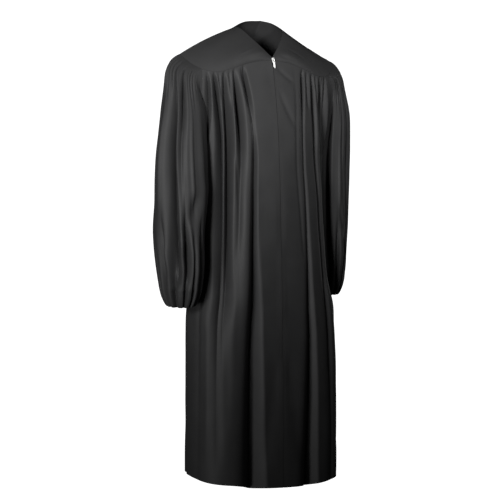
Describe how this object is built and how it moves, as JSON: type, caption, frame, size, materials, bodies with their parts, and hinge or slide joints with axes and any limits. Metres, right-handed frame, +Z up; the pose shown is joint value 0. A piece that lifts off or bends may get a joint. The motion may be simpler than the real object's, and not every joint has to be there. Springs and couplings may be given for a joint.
{
  "type": "baptismal robe",
  "caption": "Full-length zip-front robe with a smooth yoke, gathered body and full sleeves gathered at the wrist, filled out as worn.",
  "frame": {"origin": "midway between the two sides of the neck, on the line of the shoulders that carry the robe", "axes": "+Z up, front of the robe towards -Y, the wearer's left towards +X"},
  "size_m": [0.6527, 0.2813, 1.3167],
  "materials": {
    "cloth": "matt black woven polyester",
    "zip_tape": "black woven zip tape",
    "zip_metal": "bright plated metal"
  },
  "bodies": {
    "root": {"yoke_front_right": "cloth", "yoke_front_left": "cloth", "yoke_back": "cloth", "front_right": "cloth", "front_left": "cloth", "back": "cloth", "sleeve_right": "cloth", "sleeve_left": "cloth", "zip_tape_right": "zip_tape", "zip_tape_left": "zip_tape", "zip_slider": "zip_metal"},
    "pull_tab": {"zip_pull": "zip_metal"}
  },
  "joints": [
    {"name": "pull_tab_swing", "type": "hinge", "parent": "root", "child": "pull_tab", "pos_m": [0.00013, -0.07675, -0.09907], "axis": [-0.9945, -0.0166, -0.1032], "range_deg": [0, 150]}
  ]
}
